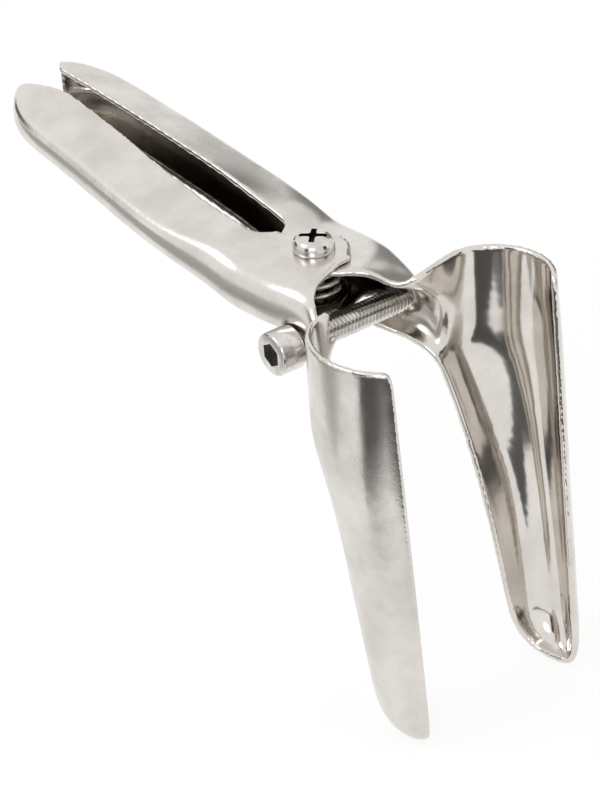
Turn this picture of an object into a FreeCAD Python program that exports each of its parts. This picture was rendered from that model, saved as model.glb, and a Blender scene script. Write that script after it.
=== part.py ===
import FreeCAD, Part
import math
import os
from FreeCAD import Vector

# Two-blade speculum of pressed stainless sheet, drawn with its blades open.
# Every piece is drawn with Z up along the pivot screw and zero on the seat of its head.
# The blades hang down, the handles run back along +Y, and the left half is on -X.
# The exported frame has its origin lower, at the end of the pivot screw.

# Sheet and hinge
SHEET = 1.5
HINGE_PLAY = 0.1
HALF_DROP = SHEET + HINGE_PLAY
EAR_RADIUS = 8.2
SLOT_END_Y = 13.0
CHANNEL_HEIGHT = 12.0
POLES_ACROSS = 12
DEGREE = 3
PARTINGS = [0, 14, 26, -1]

# Handles
SLOT_EDGE = 5.3
HANDLE_STRAIGHT_Y = 35.0
FLANGE_TILT = 0.287
SHOULDER_POLE = 5
END_INSET = 1.2

# Blades
BLADE_LENGTH = 98.5
DRAWN_LENGTH = 98.5
FRONT_TOP = Vector(25.5, -49.3, 0)
FRONT_TIP = Vector(21.2, -53.2, 0)
SHRINK_CENTRE = 0.74
BACK_ROUNDING = 12.5
FRONT_ROUNDING = 6.5
TIP_REMNANT = 0.05
TIP_FULLNESS = 2.4
BACK_BIAS = 1.8
STRETCH_CENTRE_Y = -36.5
LEFT_STRETCH = 0.11
RIGHT_STRETCH = -0.03
RIGHT_LEAN = 0.05

# Pivot screw, an M5 pan head with a cross recess, and its nut
PIVOT_DIAMETER = 5.0
PIVOT_FIT = 0.08
PIVOT_LENGTH = 20.0
PAN_DIAMETER = 9.5
PAN_HEIGHT = 3.7
PAN_CROWN = 1.6
CROSS_SPAN = 5.4
CROSS_WIDTH = 1.15
CROSS_DEPTH = 2.0
CROSS_TURN = 40.0
NUT_FLATS = 8.0
NUT_HEIGHT = 4.0
NUT_CHAMFER = 0.6

# Spring, a coil of round wire on the pivot screw with one leg in each handle
WIRE = 1.3
COIL_RADIUS = 5.4
COIL_PITCH = 2.35
COIL_TURNS = 2
COIL_TOP = -4.0
LEG_LENGTH = 24.0
LEG_SPREAD = 20.0
LEFT_LEG_RISE = 0.1
RIGHT_LEG_RISE = 0.02

# Adjusting screw, M6 x 32 with a hex socket, through the left neck
ADJUST_DIAMETER = 6.0
ADJUST_LENGTH = 32.0
ADJUST_FIT = 0.06
ADJUST_HEAD_DIAMETER = 10.0
ADJUST_HEAD_LENGTH = 6.0
ADJUST_CHAMFER = 0.6
SOCKET_FLATS = 5.0
SOCKET_DEPTH = 3.2
ADJUST_TIP = Vector(14.9, -13.7, -13.2)
ADJUST_TURN = -6.0
DIMPLE_RADIUS = 4.0
DIMPLE_DEPTH = 0.5
DIMPLE_GAP = 0.3
TAP_REACH = 14.0
SPOT_MARGIN = 0.4
SPOT_DEPTH = 0.3


def mix(a, b, t):
    return a + (b - a) * t


def table(rows, position):
    """Linear reading of a list of rows whose first value is the position."""
    if position <= rows[0][0]:
        return rows[0][1:]
    for low, high in zip(rows, rows[1:]):
        if position <= high[0]:
            t = (position - low[0]) / (high[0] - low[0])
            return [mix(a, b, t) for a, b in zip(low[1:], high[1:])]
    return rows[-1][1:]


# Slot edge of each handle, by distance from the pivot: the left handle turns in, the right one runs straight
LEFT_SLOT = [[13, 5.3], [32, 5.2], [39, 5.0], [46, 4.4],
             [53, 3.7], [62, 2.5], [74, 1.6], [86, 0.8], [110, 0.4]]
RIGHT_SLOT = [[13, 4.6], [28, 4.9], [44, 5.1], [60, 5.1], [72, 4.9], [84, 4.5], [94, 3.8], [110, 3.4]]

# Height of the handle plane over the ears: flat, then a short bend, then nearly straight
RISE = [[9, 0], [12, 0.6], [15, 1.6], [20, 2.8], [30, 4.5], [60, 9.3], [100, 15.6]]

# Back edge of the blade and depth of its trough, by distance below the rim of a blade as long as drawn
BACK_EDGE = [[0, 11.4, -24.2], [24, 12.4, -22.4], [28, 12.7, -23.9], [36, 13.0, -27.2], [48, 13.5, -30.6],
             [64, 14.8, -33.3], [86, 16.3, -35.8], [98.5, 17.0, -36.9]]
DEPTH = [[0, 13.3], [25, 12.9], [40, 12.0], [62, 10.7], [85, 8.6], [98.5, 7.4]]

# Section across a handle and across the neck: distance out from the slot edge, and height
HANDLE_SECTION = [[-1.5, 0.43], [1.3, -0.37], [4.2, -1.2], [7.2, -2.07], [10.3, -2.96], [12.9, -3.9],
                  [13.4, -7.4], [12.7, -10.9], [9.6, -11.2], [6.0, -11.2], [2.0, -11.2], [-1.5, -11.2]]
NECK_SECTION = [[-15.3, 0], [-10.3, 0], [-5.3, 0], [-0.3, 0], [4.7, 0], [10.0, -0.3],
                [12.7, -4.6], [12.4, -12.0], [6.7, -12.0], [-0.3, -12.0], [-8.3, -12.0], [-15.3, -12.0]]

# Handle end: turn of the section, its width against a straight section, and where it starts
HANDLE_END = [[90, 0.56, 88.6], [76, 0.68, 87.6], [58, 0.84, 86.4], [38, 0.96, 85.0], [18, 1.0, 82.6]]
HANDLE_STATIONS = [78, 68, 57, 46, 36, 28, 21, 15.5, 11.5, 8, 3, -1.5]
STATION_LIFT = [1, 1, 1, 1, 1, 1, 0.6, 0.2, 0, 0, 0, 0]

# Neck rows in front of the ear, from the slot side over the shoulder to the lower edge
EAR_FRONT = [[-9.6, -5.4, 0], [-4.9, -5.2, 0], [0.2, -5.1, 0],
             [5.3, -5, 0], [10.3, -5, 0], [15.1, -5, -0.4],
             [17.6, -5, -4.8], [17.2, -4.6, -11.6], [12.5, -4.2, -12], [6.5, -4.4, -12], [0.5, -4.8, -12],
             [-6, -5.2, -12]]
EAR_EDGE = [[-7.4, -7.8, 0], [-3, -7.6, 0], [1.6, -7.5, 0],
            [6.2, -7.5, 0], [10.6, -7.5, -0.1], [15, -7.5, -0.6],
            [17.2, -7.5, -5], [16.8, -7.2, -11.2], [14.8, -6.9, -13], [9.5, -6.8, -12.5], [4.5, -7, -12],
            [-0.6, -7.1, -12]]
NECK_A = [[-3.4, -9.3, 0], [-0.4, -9.4, 0], [3.2, -9.6, 0],
          [7.1, -9.8, 0], [11, -9.9, -0.2], [14.8, -9.9, -1.2],
          [16.6, -9.9, -5.3], [16.4, -9.6, -10.8],
          [15.6, -9.3, -14.6], [12.4, -9.1, -16.2], [8.4, -8.9, -15.6],
          [4.0, -8.7, -14.6]]
NECK_B = [[0.8, -11.6, 0], [3, -11.9, 0], [6, -12.2, -0.1], [9.2, -12.5, -0.4], [12.3, -12.7, -1.1],
          [14.8, -12.7, -2.8], [16.2, -12.6, -6.6], [16.2, -12.2, -11.4], [15.8, -11.9, -15.2],
          [14.0, -11.7, -17.9], [11.0, -11.5, -18.6], [7.4, -11.3, -18.2]]
NECK_C = [[3.6, -15.2, -0.8], [5.2, -15.4, -1.2],
          [7.3, -15.6, -1.7], [9.8, -15.7, -2.3], [12.5, -15.7, -3.3],
          [15, -15.6, -5], [16.3, -15.4, -8.2],
          [16.4, -15, -12.0], [16.0, -14.7, -15.7], [14.7, -14.5, -18.4],
          [12.6, -14.3, -19.8], [10.0, -14.3, -19.9]]
VALLEY = [[4.9, -20.2, -3.2], [6.5, -20, -3.8],
          [8.5, -19.7, -4.6], [10.8, -19.3, -5.7], [13.2, -18.9, -7.1],
          [15.4, -18.4, -9.1], [16.8, -17.9, -11.7], [17, -17.5, -14.6], [16.3, -17.2, -17.4],
          [14.9, -17.1, -19.5], [13.0, -17.2, -20.8], [10.9, -17.5, -21.3]]
LIP_A = [[7.6, -23.3, -1.1], [8.7, -23, -3], [10.3, -22.6, -5], [12.4, -22.0, -7], [14.4, -21.3, -9],
         [16, -20.6, -11.3], [17, -19.9, -13.7], [17.1, -19.5, -16.3], [16.6, -19.3, -18.7],
         [15.4, -19.4, -20.8], [13.8, -19.9, -22.3], [11.8, -20.6, -23.3]]
LIP_B = [[14, -23.6, 0], [14.3, -23.3, -2.6], [14.9, -22.9, -5.2], [15.6, -22.4, -7.8], [16.2, -22, -10.4],
         [16.6, -21.6, -13], [16.7, -21.3, -15.5], [16.5, -21.2, -17.9], [15.9, -21.2, -20.1],
         [15, -21.4, -22.2], [13.8, -22, -24.2], [12.5, -23.1, -25.9]]
NECK = [EAR_FRONT, EAR_EDGE, NECK_A, NECK_B, NECK_C, VALLEY, LIP_A, LIP_B]
NECK_LIFT = [0, 0, 0, 0, 0.2, 0.6, 1, 1]

# Notch in front of the left ear, which lets the lip of the right half pass
NOTCH = [[-4, -8.6], [0.75, -8.6], [5.1, -10.2], [9.5, -11.4],
         [12.2, -13], [13.6, -15.4], [14.0, -18.5], [14.0, -30],
         [-4, -30]]
NOTCH_FLOOR = -9.5

# In front of the notch the left rim starts clear of the screw with a short free edge
CURL = [[-4, -17.2], [16.8, -17.2], [16.8, -26], [-4, -26]]
CURL_FLOOR = -7.5

# The same on the underside: the left neck has no lower flange in front of its ear
LOWER_NOTCH = [[-14, -3.5], [8, -3.5], [11.6, -6.6], [12.6, -9.5], [12.4, -18], [-14, -18]]
LOWER_NOTCH_SPAN = [-26, -12.02]

# Relief in the right half's lower flange, swept by the adjusting screw as the blades close
SCREW_RELIEF = [[-14, -8.7], [-0.9, -8.75], [1.5, -8.55], [3, -8.15], [4.4, -7.5], [6.3, -6.7], [8.8, -6.3],
                [12.2, -7.2], [13.9, -8.8], [14.2, -11], [14.2, -20.5], [-14, -20.5]]
SCREW_RELIEF_SPAN = [-16.65, -9.9]

# Inner corner of each handle end, rounded off towards the slot
END_CORNER = [[-2, 75], [1.1, 83], [2.2, 88.5], [4.2, 93], [7.2, 96.6], [9.5, 99], [9.5, 104], [-2, 104]]

# Blade rows, for a blade as long as drawn: angle round the trough where the row starts, its depth there,
# and its depth at the back edge
BLADE_ROWS = [[53, 0, 28.6], [31, 0, 32.5], [5, 0, 38], [-26, 0, 45], [-58, 0, 52], [-80, 0, 57.5],
              [-90, 0.4, 61.5], [-90, 7, 65.5], [-90, 20, 70],
              [-90, 35, 75], [-90, 50, 79.5], [-90, 63, 83.5],
              [-90, 74, 87], [-90, 82, 90], [-90, 88, 92.4], [-90, 92.6, 94.6], [-90, 95.8, 96.5],
              [-90, 97.5, 97.7], [-90, 98.3, 98.35], [-90, 98.5, 98.5]]


def handle_row(slot, y):
    """One row of poles across a handle, standing square to Y."""
    t = min(1, max(0, (y - SLOT_END_Y) / (HANDLE_STRAIGHT_Y - SLOT_END_Y)))
    t = t * t * (3 - 2 * t)
    edge = mix(SLOT_EDGE, table(slot, y)[0], t)
    height = table(RISE, y)[0]
    row = []
    for neck, handle in zip(NECK_SECTION, HANDLE_SECTION):
        row.append(Vector(edge + mix(neck[0], handle[0], t), y, height + mix(neck[1], handle[1], t)))
    return row


def end_row(slot, turn, width, y):
    """One row across the round handle end, turned about a point in the slot, its flange in one plane."""
    angle = math.radians(turn)
    edge = table(slot, y)[0] - END_INSET
    row = []
    for j, (out, height) in enumerate(HANDLE_SECTION):
        reach = (out - HANDLE_SECTION[0][0]) * width
        side = reach * math.cos(angle)
        ahead = reach * math.sin(angle)
        if j <= SHOULDER_POLE:
            height = -FLANGE_TILT * (side - END_INSET)
        row.append(Vector(edge + side, y + ahead, table(RISE, y + ahead)[0] + height))
    return row


def rounding(depth, length):
    """Share of the section's width left at this depth as the blade's tip closes."""
    start = BLADE_LENGTH - length
    if depth <= start:
        return 1.0
    share = 1 - ((depth - start) / length) ** TIP_FULLNESS
    return max(TIP_REMNANT, max(0, share) ** (1 / TIP_FULLNESS))


def blade_point(angle, depth):
    """A point of the blade's outer face, by angle round the trough and depth below the rim."""
    front = mix(FRONT_TOP, FRONT_TIP, depth / BLADE_LENGTH)
    drawn = depth * DRAWN_LENGTH / BLADE_LENGTH
    back = Vector(*table(BACK_EDGE, drawn), 0)
    chord = front - back
    half = chord.Length / 2
    chord.normalize()
    outward = Vector(-chord.y, chord.x, 0)
    turn = math.radians(angle)
    centre = mix(back, front, SHRINK_CENTRE)
    along = half * (1 - 2 * SHRINK_CENTRE) - half * math.sin(turn)
    out = table(DEPTH, drawn)[0] * math.cos(turn)
    back_side = rounding(depth, BACK_ROUNDING)
    along = along * (rounding(depth, FRONT_ROUNDING) if along > 0 else back_side)
    point = centre + chord * along + outward * (out * back_side)
    point.z = -depth
    return point


def blade_row(angle, depth, back_depth):
    scale = BLADE_LENGTH / DRAWN_LENGTH
    row = []
    for j in range(POLES_ACROSS):
        t = j / (POLES_ACROSS - 1)
        row.append(blade_point(mix(angle, 90, t ** BACK_BIAS), mix(depth, back_depth, t) * scale))
    return row


def half_net(slot, lift, stretch, lean):
    """Rows of poles of the outer face of one half, from the handle end to the blade tip.

    lift raises the handle and the blade over the ears, stretch widens the blade's rim
    front to back, and lean carries the blade forward by that much per unit of depth.
    """
    rows = [end_row(slot, *values) for values in HANDLE_END]
    rows = [[point + Vector(0, 0, lift) for point in row] for row in rows]
    for y, share in zip(HANDLE_STATIONS, STATION_LIFT):
        rows.append([point + Vector(0, 0, lift * share) for point in handle_row(slot, y)])
    blade = [[Vector(*point) for point in row] for row in NECK]
    blade += [blade_row(*values) for values in BLADE_ROWS]
    shares = NECK_LIFT + [1] * len(BLADE_ROWS)
    for row, share in zip(blade, shares):
        for point in row:
            depth = max(0, -point.z)
            fade = share * stretch * (1 - depth / BLADE_LENGTH)
            point.y += (point.y - STRETCH_CENTRE_Y) * fade - share * lean * depth
            point.z += lift * share
        rows.append(row)
    return rows


def knots_of(count):
    spans = count - DEGREE
    values = [i / spans for i in range(spans + 1)]
    multiplicities = [DEGREE + 1] + [1] * (spans - 1) + [DEGREE + 1]
    flat = [0.0] * DEGREE + values + [1.0] * DEGREE
    averages = [sum(flat[i + 1:i + 1 + DEGREE]) / DEGREE for i in range(count)]
    return values, multiplicities, averages


def surface_of(rows):
    u_knots, u_mults, u_at = knots_of(len(rows))
    v_knots, v_mults, v_at = knots_of(len(rows[0]))
    surface = Part.BSplineSurface()
    surface.buildFromPolesMultsKnots(rows, u_mults, v_mults, u_knots, v_knots, False, False, DEGREE, DEGREE)
    return surface, u_at, v_at


def lengths_of(surface, along_v=False):
    """The surface parted into faces for the handle, the neck and the blade."""
    knots = surface.getVKnots() if along_v else surface.getUKnots()
    faces = []
    for low, high in zip(PARTINGS, PARTINGS[1:]):
        part = surface.copy()
        if along_v:
            part.segment(0, 1, knots[low], knots[high])
        else:
            part.segment(knots[low], knots[high], 0, 1)
        faces.append(part.toShape())
    return faces


def rim_surface(outer_poles, inner_poles):
    """The cut edge of the sheet, ruled straight across its thickness."""
    knots, mults, _ = knots_of(len(outer_poles))
    surface = Part.BSplineSurface()
    surface.buildFromPolesMultsKnots([outer_poles, inner_poles], [2, 2], mults, [0.0, 1.0], knots,
                                     False, False, 1, DEGREE)
    return surface


def sheet_solid(rows):
    """The sheet between the outer face and a face one thickness inside it."""
    outer, u_at, v_at = surface_of(rows)
    inner_rows = []
    for i, row in enumerate(rows):
        inner_rows.append([pole - outer.normal(u_at[i], v_at[j]) * SHEET for j, pole in enumerate(row)])
    inner_rows[-1] = [pole + Vector(0, 0, SHEET) for pole in rows[-1]]
    inner = surface_of(inner_rows)[0]
    faces = lengths_of(outer) + lengths_of(inner)
    for pick in (0, -1):
        faces.append(rim_surface(rows[pick], inner_rows[pick]).toShape())
        faces += lengths_of(rim_surface([row[pick] for row in rows],
        [row[pick] for row in inner_rows]), True)
    shell = Part.makeShell(faces)
    shell.sewShape()
    solid = Part.makeSolid(shell)
    if solid.Volume < 0:
        solid.reverse()
    return solid


def prism(points, bottom, top):
    wire = Part.makePolygon([Vector(x, y, bottom) for x, y in points + points[:1]])
    return Part.Face(wire).extrude(Vector(0, 0, top - bottom))


def ear_trim(slot):
    """What lies between the halves: the slot between the handles and the space round the ear."""
    points = [[-40, 120], [slot[-1][1], 120]]
    for y, edge in reversed(slot):
        if y > SLOT_END_Y + 4:
            points.append([edge, y])
    points += [[SLOT_EDGE - 0.5, SLOT_END_Y + 2.6], [SLOT_EDGE - 1.2, SLOT_END_Y + 1.0]]
    points += [[SLOT_EDGE - 2.6, SLOT_END_Y]]
    points.append([0.4, SLOT_END_Y - 1.2])
    for turn in range(100, 226, 7):
        angle = math.radians(turn)
        points.append([EAR_RADIUS * math.cos(angle), EAR_RADIUS * math.sin(angle)])
    last = points[-1]
    points.append([last[0] + 8, last[1] - 8])
    points += [[last[0] + 8, -30], [-40, -30]]
    return prism(points, -20, 25)


def oriented(shape, start, direction):
    """A shape drawn along +Z moved so that its axis runs from start along direction."""
    shape.Placement = FreeCAD.Placement(start, FreeCAD.Rotation(Vector(0, 0, 1), direction))
    return shape


ADJUST_AXIS = Vector(math.cos(math.radians(ADJUST_TURN)), math.sin(math.radians(ADJUST_TURN)), 0)


def bar(radius, start, end):
    """A round bar on the adjusting screw's axis, between two distances from the screw's tip."""
    return oriented(Part.makeCylinder(radius, end - start), ADJUST_TIP + ADJUST_AXIS * start, ADJUST_AXIS)


def left_half():
    half = sheet_solid(half_net(LEFT_SLOT, 0, LEFT_STRETCH, 0)).cut(ear_trim(LEFT_SLOT))
    half = half.cut(prism(NOTCH, NOTCH_FLOOR, 5))
    half = half.cut(prism(CURL, CURL_FLOOR, 5))
    half = half.cut(prism(LOWER_NOTCH, *LOWER_NOTCH_SPAN))
    half = half.cut(prism(END_CORNER, -20, 25))
    half = half.mirror(Vector(0, 0, 0), Vector(1, 0, 0))
    half = half.cut(Part.makeCylinder(PIVOT_DIAMETER / 2 + PIVOT_FIT, 40, Vector(0, 0, -30)))
    thread_bar = bar(ADJUST_DIAMETER / 2 + ADJUST_FIT, -ADJUST_LENGTH - TAP_REACH / 2,
                     TAP_REACH / 2 - ADJUST_LENGTH)
    half = half.cut(thread_bar)
    spot_face = bar(ADJUST_HEAD_DIAMETER / 2 + SPOT_MARGIN, -ADJUST_LENGTH - ADJUST_HEAD_LENGTH,
                    SPOT_DEPTH - ADJUST_LENGTH)
    return half.cut(spot_face)


def right_half():
    half = sheet_solid(half_net(RIGHT_SLOT, HALF_DROP, RIGHT_STRETCH, RIGHT_LEAN)).cut(ear_trim(RIGHT_SLOT))
    half = half.cut(prism(END_CORNER, -20, 25))
    half.translate(Vector(0, 0, -HALF_DROP))
    half = half.cut(prism(SCREW_RELIEF, *SCREW_RELIEF_SPAN))
    half = half.cut(Part.makeCylinder(PIVOT_DIAMETER / 2 + PIVOT_FIT, 40, Vector(0, 0, -30)))
    half = half.cut(bar(ADJUST_DIAMETER / 2 + DIMPLE_GAP, -TAP_REACH / 2, DIMPLE_GAP))
    return half.cut(bar(DIMPLE_RADIUS, 0, DIMPLE_DEPTH + DIMPLE_GAP))


def hexagon(flats, height):
    radius = flats / 2 / math.cos(math.radians(30))
    turns = [math.radians(60 * k) for k in range(6)]
    points = [[radius * math.cos(turn), radius * math.sin(turn)] for turn in turns]
    return prism(points, 0, height)


def pivot_screw():
    """Pan head with a crowned top and a cross recess, on a plain shank."""
    r = PAN_DIAMETER / 2
    edge = PAN_HEIGHT - PAN_CROWN
    side = Part.makeLine(Vector(r, 0, 0), Vector(r, 0, edge))
    middle = Vector(r * 0.72, 0, PAN_HEIGHT - 0.28)
    crown = Part.Arc(Vector(r, 0, edge), middle, Vector(0, 0, PAN_HEIGHT)).toShape()
    axis = Part.makeLine(Vector(0, 0, PAN_HEIGHT), Vector(0, 0, 0))
    base = Part.makeLine(Vector(0, 0, 0), Vector(r, 0, 0))
    head = Part.Face(Part.Wire([side, crown, axis, base])).revolve(Vector(0, 0, 0), Vector(0, 0, 1), 360)
    for turn in (CROSS_TURN, CROSS_TURN + 90):
        arm = Part.makeBox(CROSS_SPAN, CROSS_WIDTH, CROSS_DEPTH + 1,
                           Vector(-CROSS_SPAN / 2, -CROSS_WIDTH / 2, PAN_HEIGHT - CROSS_DEPTH))
        arm.rotate(Vector(0, 0, 0), Vector(0, 0, 1), turn)
        head = head.cut(arm)
    r = PIVOT_DIAMETER / 2
    shank = Part.makeCylinder(r, PIVOT_LENGTH, Vector(0, 0, -PIVOT_LENGTH))
    end = shank.Edges
    low = [edge for edge in end if edge.BoundBox.ZMax < -PIVOT_LENGTH + 0.1 and len(edge.Vertexes) == 1]
    return head.fuse(shank.makeChamfer(0.5, low)).removeSplitter()


def chamfered_hexagon(flats, height, chamfer):
    """A hexagon with its corners turned off at both ends."""
    radius = flats / 2 / math.cos(math.radians(30))
    inset = flats / 2 - 0.1
    points = [Vector(0, 0, 0), Vector(inset, 0, 0), Vector(radius, 0, chamfer), Vector(radius, 0, height - chamfer),
              Vector(inset, 0, height), Vector(0, 0, height), Vector(0, 0, 0)]
    turned = Part.Face(Part.makePolygon(points)).revolve(Vector(0, 0, 0), Vector(0, 0, 1), 360)
    return hexagon(flats, height).common(turned)


def pivot_nut():
    nut = chamfered_hexagon(NUT_FLATS, NUT_HEIGHT, NUT_CHAMFER)
    nut.translate(Vector(0, 0, -CHANNEL_HEIGHT - HALF_DROP - NUT_HEIGHT))
    return nut.cut(Part.makeCylinder(PIVOT_DIAMETER / 2, 40, Vector(0, 0, -40)))


def wire_leg(start, direction):
    """A straight leg of wire with round ends."""
    end = start + direction * LEG_LENGTH
    leg = Part.makeCylinder(WIRE / 2, LEG_LENGTH, start, direction)
    return leg.fuse([Part.makeSphere(WIRE / 2, start), Part.makeSphere(WIRE / 2, end)])


def torsion_spring():
    """Round wire: a coil down the pivot screw, and from each of its ends a leg along one handle."""
    spread = math.radians(LEG_SPREAD)
    turns = COIL_TURNS + 0.5 - LEG_SPREAD / 180
    height = COIL_PITCH * turns
    spine = Part.makeHelix(COIL_PITCH, height, COIL_RADIUS)
    spine.translate(Vector(0, 0, COIL_TOP - height))
    spine.rotate(Vector(0, 0, 0), Vector(0, 0, 1), 180 + LEG_SPREAD)
    ends = [vertex.Point for vertex in spine.OrderedVertexes]
    ends.sort(key=lambda point: point.z)
    slope = math.atan2(COIL_PITCH, 2 * math.pi * COIL_RADIUS)
    tangent = Vector(-ends[0].y, ends[0].x, 0)
    tangent.normalize()
    tangent.z = math.tan(slope)
    ring = Part.Wire([Part.makeCircle(WIRE / 2, ends[0], tangent)])
    coil = Part.Wire(spine.Edges).makePipeShell([ring], True, True)
    left = Vector(-math.sin(spread), math.cos(spread), LEFT_LEG_RISE)
    right = Vector(math.sin(spread), math.cos(spread), RIGHT_LEG_RISE)
    left.normalize()
    right.normalize()
    return coil.fuse([wire_leg(ends[0], left), wire_leg(ends[-1], right)])


def adjusting_screw():
    """Socket cap screw drawn along +Z, then laid through the neck."""
    head = Part.makeCylinder(ADJUST_HEAD_DIAMETER / 2, ADJUST_HEAD_LENGTH, Vector(0, 0, -ADJUST_HEAD_LENGTH))
    rim = [edge for edge in head.Edges if edge.BoundBox.ZMax < -ADJUST_HEAD_LENGTH + 0.1]
    head = head.makeFillet(ADJUST_CHAMFER, rim)
    socket = hexagon(SOCKET_FLATS, SOCKET_DEPTH)
    socket.translate(Vector(0, 0, -ADJUST_HEAD_LENGTH))
    head = head.cut(socket)
    shank = Part.makeCylinder(ADJUST_DIAMETER / 2, ADJUST_LENGTH)
    end = [edge for edge in shank.Edges if edge.BoundBox.ZMin > ADJUST_LENGTH - 0.1]
    shank = shank.makeChamfer(ADJUST_CHAMFER, end)
    screw = head.fuse(shank).removeSplitter()
    return oriented(screw, ADJUST_TIP - ADJUST_AXIS * ADJUST_LENGTH, ADJUST_AXIS)


os.makedirs("parts", exist_ok=True)
PIECES = {
    "left_half": left_half,
    "right_half": right_half,
    "pivot_screw": pivot_screw,
    "pivot_nut": pivot_nut,
    "torsion_spring": torsion_spring,
    "adjusting_screw": adjusting_screw,
}
for name, build in PIECES.items():
    shape = build()
    shape.translate(Vector(0, 0, PIVOT_LENGTH))
    print(name, shape.isValid(), len(shape.Solids), round(shape.Volume, 1))
    shape.exportStep("parts/" + name + ".step")
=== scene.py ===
import bmesh
import bpy
import math
from mathutils import Euler, Matrix, Vector


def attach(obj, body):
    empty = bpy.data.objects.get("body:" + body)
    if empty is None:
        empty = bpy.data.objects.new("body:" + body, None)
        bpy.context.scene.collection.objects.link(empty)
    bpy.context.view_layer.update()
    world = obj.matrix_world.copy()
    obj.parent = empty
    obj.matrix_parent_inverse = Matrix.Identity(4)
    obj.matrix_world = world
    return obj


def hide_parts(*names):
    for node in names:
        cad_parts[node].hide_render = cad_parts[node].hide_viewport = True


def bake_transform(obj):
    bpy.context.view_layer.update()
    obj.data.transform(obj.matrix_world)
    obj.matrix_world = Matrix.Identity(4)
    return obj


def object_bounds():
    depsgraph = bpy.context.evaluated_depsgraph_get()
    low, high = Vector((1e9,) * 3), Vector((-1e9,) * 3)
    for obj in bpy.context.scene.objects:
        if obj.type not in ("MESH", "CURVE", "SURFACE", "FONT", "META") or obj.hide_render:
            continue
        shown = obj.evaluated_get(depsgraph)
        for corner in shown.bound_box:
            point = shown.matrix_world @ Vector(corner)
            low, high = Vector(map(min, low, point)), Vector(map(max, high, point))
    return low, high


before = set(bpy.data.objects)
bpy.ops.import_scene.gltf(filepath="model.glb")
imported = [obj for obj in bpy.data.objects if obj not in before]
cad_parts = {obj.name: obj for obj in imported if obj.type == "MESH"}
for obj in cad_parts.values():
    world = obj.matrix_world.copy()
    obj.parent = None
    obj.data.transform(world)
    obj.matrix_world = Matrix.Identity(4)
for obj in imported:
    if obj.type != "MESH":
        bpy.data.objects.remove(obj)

cad_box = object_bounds()

# Camera: stands in front of the left blade and a little above it, with a long lens,
# so that both blades, the adjusting screw and the two handles show.
lens = bpy.data.cameras.new("camera")
lens.sensor_width = 36
lens.lens = 122.7
lens.clip_end = 20
camera = bpy.data.objects.new("camera", lens)
bpy.context.scene.collection.objects.link(camera)
view_right = Vector((0.7313, -0.6792, -0.0614)).normalized()
view_up = Vector((0.3992, 0.3533, 0.8461)).normalized()
view_back = view_right.cross(view_up).normalized()
view_up = view_back.cross(view_right)
pivot_seat = Vector((0, 0, 0.02))
stand_right = -0.003014
stand_up = -0.0334
stand_back = 0.60062
stand = pivot_seat + view_right * stand_right + view_up * stand_up + view_back * stand_back
camera.matrix_world = Matrix((
    (view_right.x, view_up.x, view_back.x, stand.x),
    (view_right.y, view_up.y, view_back.y, stand.y),
    (view_right.z, view_up.z, view_back.z, stand.z),
    (0, 0, 0, 1)))
bpy.context.scene.camera = camera

# Studio: a white room with a pale floor under the blade tips. Two soft lamps stand over the
# handles and in front of the blades, and dark cards beside them give polished steel its bands.
for name, spot, size, power in (
        ("over_handles", (-0.6, 0.3, 0.75), 0.4, 2),
        ("front_left", (-0.75, -0.6, 0.5), 0.3, 2)):
    lamp = bpy.data.lights.new(name, "AREA")
    lamp.size = size
    lamp.energy = power
    light = bpy.data.objects.new(name, lamp)
    light.location = spot
    light.rotation_euler = (Vector((0, 0, 0)) - Vector(spot)).to_track_quat("-Z", "Y").to_euler()
    bpy.context.scene.collection.objects.link(light)

room = bpy.data.worlds.new("white_room")
bpy.context.scene.world = room
room.use_nodes = True
room.node_tree.nodes["Background"].inputs["Color"].default_value = (1, 1, 1, 1)
bpy.context.scene.view_settings.view_transform = "Standard"


def flat_sheet(name, place, width, height):
    """A rectangle of the given width and height, moved to its place."""
    bpy.ops.object.select_all(action="DESELECT")
    bpy.ops.mesh.primitive_plane_add(size=1, location=(0, 0, 0))
    sheet = bpy.context.object
    sheet.name = name
    sheet.data.transform(place @ Matrix.Diagonal((width, height, 1, 1)))
    return sheet


floor_width = 12
floor_glow = 0.85
floor_gap = 0.0004
floor = flat_sheet("floor", Matrix.Translation((0, 0, cad_box[0][2] - floor_gap)), floor_width, floor_width)
floor_white = bpy.data.materials.new("floor_white")
floor_white.use_nodes = True
nodes = floor_white.node_tree.nodes
links = floor_white.node_tree.links
nodes["Principled BSDF"].inputs["Base Color"].default_value = (0.9, 0.9, 0.89, 1)
nodes["Principled BSDF"].inputs["Roughness"].default_value = 0.9
nodes["Principled BSDF"].inputs["Specular IOR Level"].default_value = 0.1
glow = nodes.new("ShaderNodeEmission")
glow.inputs["Color"].default_value = (1, 1, 1, 1)
path = nodes.new("ShaderNodeLightPath")
direct = nodes.new("ShaderNodeMath")
direct.operation = "MAXIMUM"
links.new(path.outputs["Is Camera Ray"], direct.inputs[0])
links.new(path.outputs["Is Glossy Ray"], direct.inputs[1])
seen = nodes.new("ShaderNodeMath")
seen.operation = "MAXIMUM"
links.new(direct.outputs[0], seen.inputs[0])
links.new(path.outputs["Is Transmission Ray"], seen.inputs[1])
share = nodes.new("ShaderNodeMath")
share.operation = "MULTIPLY"
share.inputs[1].default_value = floor_glow
links.new(seen.outputs[0], share.inputs[0])
blend = nodes.new("ShaderNodeMixShader")
links.new(share.outputs[0], blend.inputs["Fac"])
links.new(nodes["Principled BSDF"].outputs[0], blend.inputs[1])
links.new(glow.outputs[0], blend.inputs[2])
links.new(blend.outputs[0], nodes["Material Output"].inputs["Surface"])
floor.data.materials.append(floor_white)


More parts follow.
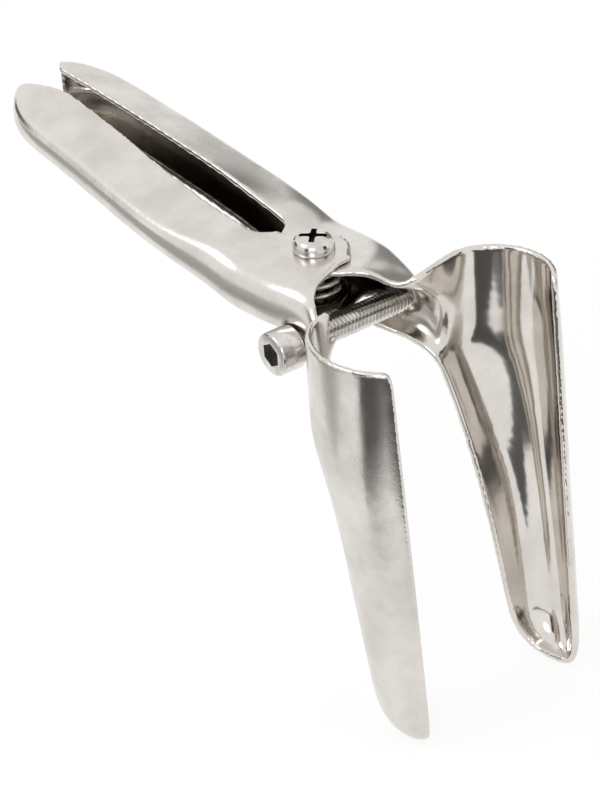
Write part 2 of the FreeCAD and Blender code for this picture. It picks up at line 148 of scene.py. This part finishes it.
def card(name, spot, facing, width, height, grey):
    """A flat matt card, seen only in the steel."""
    turn = (Vector(facing) - Vector(spot)).to_track_quat("Z", "Y").to_matrix().to_4x4()
    sheet = flat_sheet(name, Matrix.Translation(spot) @ turn, width, height)
    paint = bpy.data.materials.new(name)
    paint.use_nodes = True
    matt = paint.node_tree.nodes["Principled BSDF"]
    matt.inputs["Base Color"].default_value = (grey, grey, grey * 0.97, 1)
    matt.inputs["Roughness"].default_value = 0.95
    sheet.data.materials.append(paint)
    sheet.visible_camera = False
    sheet.visible_diffuse = False
    sheet.visible_shadow = False


# Standing cards face the blades, and lying ones are patches on the floor
middle = (0, -0.02, 0)
floor_height = cad_box[0][2] + 0.001
card("card_front", (0.35, -0.9, 0.1), middle, 0.35, 0.9, 0.03)
card("card_left", (-0.9, -0.15, 0.05), middle, 0.3, 0.9, 0.05)
card("card_right", (0.85, 0.35, 0.2), middle, 0.5, 0.9, 0.25)
card("card_back", (-0.35, 0.9, 0.1), middle, 0.5, 0.5, 0.1)
for name, x, y, width, height, grey in (
        ("card_floor_front", -0.3225, -0.185, 0.415, 0.29, 0.05),
        ("card_floor_edge", -0.07, -0.235, 0.09, 0.19, 0.05),
        ("card_floor_blade", -0.14, -0.11, 0.05, 0.08, 0.2),
        ("card_floor_back", -0.35, 0.3, 0.5, 0.5, 0.36)):
    card(name, (x, y, floor_height), (x, y, 1), width, height, grey)


# The two halves: each one blank of stainless sheet, cut, pressed into a channel and a trough,
# then ground on a belt outside, polished in the trough and tumbled, which rounds its cut edges.
def only(piece):
    """Makes a piece the one that the next operators act on."""
    bpy.ops.object.select_all(action="DESELECT")
    piece.select_set(True)
    bpy.context.view_layer.objects.active = piece


# A turn that lines up with no edge of the object, so that the remesh leaves no steps along one
odd_turn = Euler((0.55, 0.38, 0.47)).to_matrix().to_4x4()
# Share of the triangles that is kept, so that each piece stays under 200,000
kept_share = 0.7


def softened(node, voxel, passes, name):
    """A copy of a CAD node with its facets joined and its edges slightly rounded."""
    mesh = bpy.data.objects[node].data.copy()
    mesh.transform(odd_turn)
    piece = bpy.data.objects.new(name, mesh)
    bpy.context.scene.collection.objects.link(piece)
    only(piece)
    bpy.ops.object.mode_set(mode="EDIT")
    bpy.ops.mesh.select_all(action="SELECT")
    bpy.ops.mesh.remove_doubles(threshold=0.00001)
    bpy.ops.object.mode_set(mode="OBJECT")
    grid = piece.modifiers.new("grid", "REMESH")
    grid.mode = "VOXEL"
    grid.voxel_size = voxel
    bpy.ops.object.modifier_apply(modifier=grid.name)
    ease = piece.modifiers.new("ease", "SMOOTH")
    ease.factor = 0.5
    ease.iterations = passes
    bpy.ops.object.modifier_apply(modifier=ease.name)
    thin = piece.modifiers.new("thin", "DECIMATE")
    thin.ratio = kept_share
    bpy.ops.object.modifier_apply(modifier=thin.name)
    bpy.ops.object.shade_smooth()
    piece.data.transform(odd_turn.inverted())
    return piece


def grain_group():
    """Mottled tone, roughness and fine relief of ground and tumbled steel."""
    group = bpy.data.node_groups.new("steel_grain", "ShaderNodeTree")
    for socket, kind, value in (
            ("Light Tone", "NodeSocketColor", (0.7, 0.68, 0.65, 1)),
            ("Dark Tone", "NodeSocketColor", (0.5, 0.48, 0.45, 1)),
            ("Smooth Roughness", "NodeSocketFloat", 0.12),
            ("Dull Roughness", "NodeSocketFloat", 0.3),
            ("Blotch Scale", "NodeSocketFloat", 60.0),
            ("Relief", "NodeSocketFloat", 0.1)):
        item = group.interface.new_socket(socket, in_out="INPUT", socket_type=kind)
        item.default_value = value
    group.interface.new_socket("Tone", in_out="OUTPUT", socket_type="NodeSocketColor")
    group.interface.new_socket("Roughness", in_out="OUTPUT", socket_type="NodeSocketFloat")
    group.interface.new_socket("Normal", in_out="OUTPUT", socket_type="NodeSocketVector")
    nodes = group.nodes
    links = group.links
    given = nodes.new("NodeGroupInput")
    result = nodes.new("NodeGroupOutput")
    place = nodes.new("ShaderNodeTexCoord")
    blotch = nodes.new("ShaderNodeTexNoise")
    blotch.inputs["Detail"].default_value = 5
    blotch.inputs["Roughness"].default_value = 0.6
    links.new(place.outputs["Object"], blotch.inputs["Vector"])
    links.new(given.outputs["Blotch Scale"], blotch.inputs["Scale"])
    spread = nodes.new("ShaderNodeMapRange")
    spread.inputs["From Min"].default_value = 0.35
    spread.inputs["From Max"].default_value = 0.65
    links.new(blotch.outputs["Fac"], spread.inputs["Value"])
    fine = nodes.new("ShaderNodeTexNoise")
    fine.inputs["Scale"].default_value = 2600
    fine.inputs["Detail"].default_value = 3
    links.new(place.outputs["Object"], fine.inputs["Vector"])
    tone = nodes.new("ShaderNodeMix")
    tone.data_type = "RGBA"
    links.new(spread.outputs["Result"], tone.inputs["Factor"])
    links.new(given.outputs["Light Tone"], tone.inputs["A"])
    links.new(given.outputs["Dark Tone"], tone.inputs["B"])
    links.new(tone.outputs["Result"], result.inputs["Tone"])
    gloss = nodes.new("ShaderNodeMix")
    links.new(spread.outputs["Result"], gloss.inputs["Factor"])
    links.new(given.outputs["Smooth Roughness"], gloss.inputs["A"])
    links.new(given.outputs["Dull Roughness"], gloss.inputs["B"])
    pits = nodes.new("ShaderNodeMath")
    pits.operation = "MULTIPLY_ADD"
    pits.inputs[1].default_value = 0.08
    links.new(fine.outputs["Fac"], pits.inputs[0])
    links.new(gloss.outputs["Result"], pits.inputs[2])
    links.new(pits.outputs[0], result.inputs["Roughness"])
    relief = nodes.new("ShaderNodeBump")
    relief.inputs["Distance"].default_value = 0.00002
    links.new(given.outputs["Relief"], relief.inputs["Strength"])
    links.new(fine.outputs["Fac"], relief.inputs["Height"])
    links.new(relief.outputs["Normal"], result.inputs["Normal"])
    return group


steel_grain = grain_group()


def steel(name, light, dark, smooth, dull, blotch_scale, relief):
    """A stainless finish with its own tones and polish."""
    finish = bpy.data.materials.new(name)
    finish.use_nodes = True
    nodes = finish.node_tree.nodes
    links = finish.node_tree.links
    shader = nodes["Principled BSDF"]
    shader.inputs["Metallic"].default_value = 1
    grain = nodes.new("ShaderNodeGroup")
    grain.node_tree = steel_grain
    grain.inputs["Light Tone"].default_value = (*light, 1)
    grain.inputs["Dark Tone"].default_value = (*dark, 1)
    grain.inputs["Smooth Roughness"].default_value = smooth
    grain.inputs["Dull Roughness"].default_value = dull
    grain.inputs["Blotch Scale"].default_value = blotch_scale
    grain.inputs["Relief"].default_value = relief
    links.new(grain.outputs["Tone"], shader.inputs["Base Color"])
    links.new(grain.outputs["Roughness"], shader.inputs["Roughness"])
    links.new(grain.outputs["Normal"], shader.inputs["Normal"])
    return finish


sheet_steel = steel("sheet_steel", (0.75, 0.715, 0.675), (0.64, 0.605, 0.565), 0.12, 0.24, 90, 0.25)
nodes = sheet_steel.node_tree.nodes
links = sheet_steel.node_tree.links
grain = nodes["Group"]

# The polished trough is smooth, with little relief
polished = nodes.new("ShaderNodeAttribute")
polished.attribute_name = "polished"
mirror = nodes.new("ShaderNodeMix")
mirror.inputs["B"].default_value = 0.1
links.new(polished.outputs["Fac"], mirror.inputs["Factor"])
links.new(grain.outputs["Roughness"], mirror.inputs["A"])
links.new(mirror.outputs["Result"], nodes["Principled BSDF"].inputs["Roughness"])
smoother = nodes.new("ShaderNodeMath")
smoother.operation = "MULTIPLY_ADD"
smoother.inputs[1].default_value = -0.7
smoother.inputs[2].default_value = 0.85
links.new(polished.outputs["Fac"], smoother.inputs[0])
links.new(smoother.outputs[0], grain.inputs["Relief"])

# Painted shade: the inside of the handle channel gets a dark base colour, for the shade deep in it
channel = nodes.new("ShaderNodeAttribute")
channel.attribute_name = "channel"
painted_channel_shade = nodes.new("ShaderNodeMix")
painted_channel_shade.data_type = "RGBA"
painted_channel_shade.inputs["B"].default_value = (0.1, 0.085, 0.07, 1)
links.new(channel.outputs["Fac"], painted_channel_shade.inputs["Factor"])
links.new(grain.outputs["Tone"], painted_channel_shade.inputs["A"])
links.new(painted_channel_shade.outputs["Result"], nodes["Principled BSDF"].inputs["Base Color"])


def ramp(value):
    """A share from 0 to 1."""
    return min(1, max(0, value))


sheet_voxel = 0.00042
sheet_passes = 14
fade = 0.004
# The trough lies in front of trough_back, and faces against trough_out
trough_back = -0.022
trough_out = Vector((0.864, 0.503, 0))
# The flange is the flat top of a handle; the channel is what lies more than a wall below it
flange_start = Vector((0.005, 0.011, 0.02))
flange_rise = 0.155
flange_fall = 0.287
wall_depth = 0.0022
wall_fade = 0.001
channel_front = -0.012
channel_end = 0.095
end_fade = 0.04
facing_gain = 3
for side, sign in (("left", -1), ("right", 1)):
    half = softened(side + "_half", sheet_voxel, sheet_passes, side + "_sheet")
    shine = half.data.attributes.new("polished", "FLOAT", "POINT")
    channel_shade_layer = half.data.attributes.new("channel", "FLOAT", "POINT")
    outward = Vector((trough_out.x * sign, trough_out.y, 0))
    shines = []
    channel_shade_values = []
    for vertex in half.data.vertices:
        spot = vertex.co
        inward = -vertex.normal.dot(outward)
        front = ramp((trough_back - spot.y) / fade)
        shines.append(ramp(inward * facing_gain) * front)
        # Painted shade mask: the channel attribute is 1 deep inside the handle channel, on walls facing
        # into it
        along = max(0, spot.y - flange_start.y)
        across = max(0, abs(spot.x) - flange_start.x)
        flange = flange_start.z + flange_rise * along - flange_fall * across
        below = ramp((flange - spot.z - wall_depth) / wall_fade)
        facing = max(-vertex.normal.x * sign, vertex.normal.z)
        behind = ramp((spot.y - channel_front) / fade) * ramp((channel_end - spot.y) / end_fade)
        channel_shade_values.append(below * ramp(facing * facing_gain) * behind)
    shine.data.foreach_set("value", shines)
    channel_shade_layer.data.foreach_set("value", channel_shade_values)
    half.data.materials.clear()
    half.data.materials.append(sheet_steel)
    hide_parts(side + "_half")
    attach(half, side)


# The pivot: a turned pan-head screw with a stamped cross recess, and a plain nut under the ears.
# The nut closes the screw's lower end, and the spring is wound between it and the ears.
def apply_cut(piece, tool):
    """Cuts a tool out of a piece; the cut keeps the tool's material."""
    only(piece)
    cut = piece.modifiers.new("cut", "BOOLEAN")
    cut.operation = "DIFFERENCE"
    cut.solver = "EXACT"
    cut.material_mode = "TRANSFER"
    cut.object = tool
    bpy.ops.object.modifier_apply(modifier=cut.name)
    bpy.data.objects.remove(tool, do_unlink=True)


def round_bar(name, radius, low, high, around=64):
    """A closed cylinder along Z, from the low height to the high one."""
    bpy.ops.object.select_all(action="DESELECT")
    bpy.ops.mesh.primitive_cylinder_add(vertices=around, radius=radius, depth=high - low,
                                        location=(0, 0, (low + high) / 2))
    bar = bpy.context.object
    bar.name = name
    bpy.ops.object.transform_apply(location=True, rotation=True, scale=True)
    return bar


def bevel_rim(piece, height, width, steps, profile=0.5):
    """Rounds the circular edges of a bar at one height."""
    only(piece)
    bpy.ops.object.mode_set(mode="EDIT")
    bpy.ops.mesh.select_mode(type="EDGE")
    bpy.ops.mesh.select_all(action="DESELECT")
    bpy.ops.object.mode_set(mode="OBJECT")
    spots = piece.data.vertices
    for edge in piece.data.edges:
        edge.select = all(abs(spots[i].co.z - height) < 0.00001 for i in edge.vertices)
    bpy.ops.object.mode_set(mode="EDIT")
    bpy.ops.mesh.bevel(offset=width, segments=steps, profile=profile, affect="EDGES")
    bpy.ops.object.mode_set(mode="OBJECT")


sharp_angle = math.radians(32)
screw_steel = steel("screw_steel", (0.76, 0.74, 0.71), (0.58, 0.56, 0.53), 0.07, 0.18, 300, 0.15)
recess_shade = steel("recess_shade", (0.05, 0.045, 0.04), (0.02, 0.018, 0.016), 0.35, 0.5, 300, 0.3)
seat = 0.02
pan_radius = 0.00475
pan_height = 0.0034
pan_dome = 0.0027
seat_edge = 0.0002
pan_top = seat + pan_height
head = round_bar("pan_head", pan_radius, seat, pan_top, 96)
bevel_rim(head, pan_top, pan_dome, 12, 0.55)
bevel_rim(head, seat, seat_edge, 2)
head.data.materials.append(screw_steel)

# The cross: two arms and a square well between them, each cut to the same depth
cross_turn = 40
arm_size = (0.0062, 0.0013)
well_size = (0.0024, 0.0024)
cross_tool_height = 0.0034
for turn, (reach, wide) in (
        (cross_turn, arm_size),
        (cross_turn + 90, arm_size),
        (cross_turn + 45, well_size)):
    bpy.ops.object.select_all(action="DESELECT")
    bpy.ops.mesh.primitive_cube_add(size=1, location=(0, 0, 0))
    arm = bpy.context.object
    place = Matrix.Rotation(math.radians(turn), 4, "Z") @ Matrix.Translation((0, 0, pan_top))
    arm.data.transform(place @ Matrix.Diagonal((reach, wide, cross_tool_height, 1)))
    arm.data.materials.append(recess_shade)
    apply_cut(head, arm)
shank_radius = 0.0025
shank_low = 0.0005
shank_edge = 0.0004
shank = round_bar("shank", shank_radius, shank_low, seat + shank_edge)
bevel_rim(shank, shank_low, shank_edge, 2)
shank.data.materials.append(screw_steel)
only(shank)
head.select_set(True)
bpy.context.view_layer.objects.active = head
bpy.ops.object.join()
bpy.ops.object.shade_smooth_by_angle(angle=sharp_angle)
head.name = "pan_screw"
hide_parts("pivot_screw")
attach(head, "left")

nut_voxel = 0.0002
nut_passes = 4
nut = softened("pivot_nut", nut_voxel, nut_passes, "hex_nut")
nut.data.materials.clear()
nut.data.materials.append(screw_steel)
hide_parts("pivot_nut")
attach(nut, "left")

# The spring: hard round wire wound on the pivot screw, with one leg pressing in each handle.
wire_steel = steel("wire_steel", (0.66, 0.63, 0.58), (0.36, 0.34, 0.3), 0.12, 0.28, 400, 0.2)
wire_voxel = 0.00016
wire_passes = 3
spring = softened("torsion_spring", wire_voxel, wire_passes, "wound_spring")
spring.data.materials.clear()
spring.data.materials.append(wire_steel)
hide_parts("torsion_spring")
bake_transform(spring)

# The adjusting screw: a socket cap screw of turned and hardened steel, its head bored with a
# hexagon and its thread rolled over the whole length of the shank.
screw_length = 0.032
thread_crest = 0.003
thread_root = 0.00234
pitch = 0.001
cap_radius = 0.005
cap_height = 0.006
turns = 31
bpy.ops.object.select_all(action="DESELECT")
bpy.ops.mesh.primitive_plane_add(size=1, location=(0, 0, 0))
thread = bpy.context.object
thread.name = "thread"
tooth = bmesh.new()
flank = [(thread_root, 0), (thread_root, 0.12), (thread_crest, 0.47),
         (thread_crest, 0.6), (thread_root, 0.95), (thread_root, 1)]
points = [tooth.verts.new((radius, 0, (rise - 0.5) * pitch)) for radius, rise in flank]
for low, high in zip(points, points[1:]):
    tooth.edges.new((low, high))
tooth.to_mesh(thread.data)
tooth.free()
only(thread)
roll = thread.modifiers.new("roll", "SCREW")
roll.axis = "Z"
roll.angle = math.radians(360)
roll.screw_offset = pitch
roll.iterations = turns
roll.steps = 40
roll.render_steps = 40
roll.use_merge_vertices = True
roll.merge_threshold = 0.000005
bpy.ops.object.modifier_apply(modifier=roll.name)
bpy.ops.object.mode_set(mode="EDIT")
bpy.ops.mesh.select_all(action="SELECT")
bpy.ops.mesh.remove_doubles(threshold=0.000005)
bpy.ops.mesh.fill_holes(sides=0)
bpy.ops.mesh.select_all(action="SELECT")
bpy.ops.mesh.normals_make_consistent(inside=False)
bpy.ops.object.mode_set(mode="OBJECT")
thread.data.materials.append(screw_steel)
tip_radius = 0.00272
tip_length = 0.0012
chamfer = 0.0006
cap_seat_edge = 0.0003
tip = round_bar("tip", tip_radius, screw_length - tip_length, screw_length)
bevel_rim(tip, screw_length, chamfer, 3)
cap = round_bar("cap", cap_radius, -cap_height, 0, 96)
bevel_rim(cap, -cap_height, chamfer, 5)
bevel_rim(cap, 0, cap_seat_edge, 2)
tip.data.materials.append(screw_steel)
cap.data.materials.append(screw_steel)
socket_radius = 0.0028868
socket_depth = 0.0032
hexagon = round_bar("hexagon", socket_radius, -cap_height - 0.001, -cap_height + socket_depth, 6)
# Painted shade: the hexagon socket gets darker steel tones than the cap, for the shade inside it
socket_painted_shade = steel("socket_painted_shade", (0.5, 0.48, 0.45), (0.25, 0.235, 0.22), 0.25, 0.4, 600, 0.3)
hexagon.data.materials.append(socket_painted_shade)
apply_cut(cap, hexagon)
only(cap)
thread.select_set(True)
tip.select_set(True)
bpy.ops.object.join()
bpy.ops.object.shade_smooth_by_angle(angle=sharp_angle)
cap.name = "cap_screw"

# The screw lies across the necks, turned a little, with its tip at the right neck
lay_turn = math.radians(-6)
axis = Vector((math.cos(lay_turn), math.sin(lay_turn), 0))
tip_spot = Vector((0.0149, -0.0137, 0.0068))
lay = axis.to_track_quat("Z", "Y").to_matrix().to_4x4()
cap.data.transform(Matrix.Translation(tip_spot - axis * screw_length) @ lay)
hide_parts("adjusting_screw")
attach(cap, "side_screw")
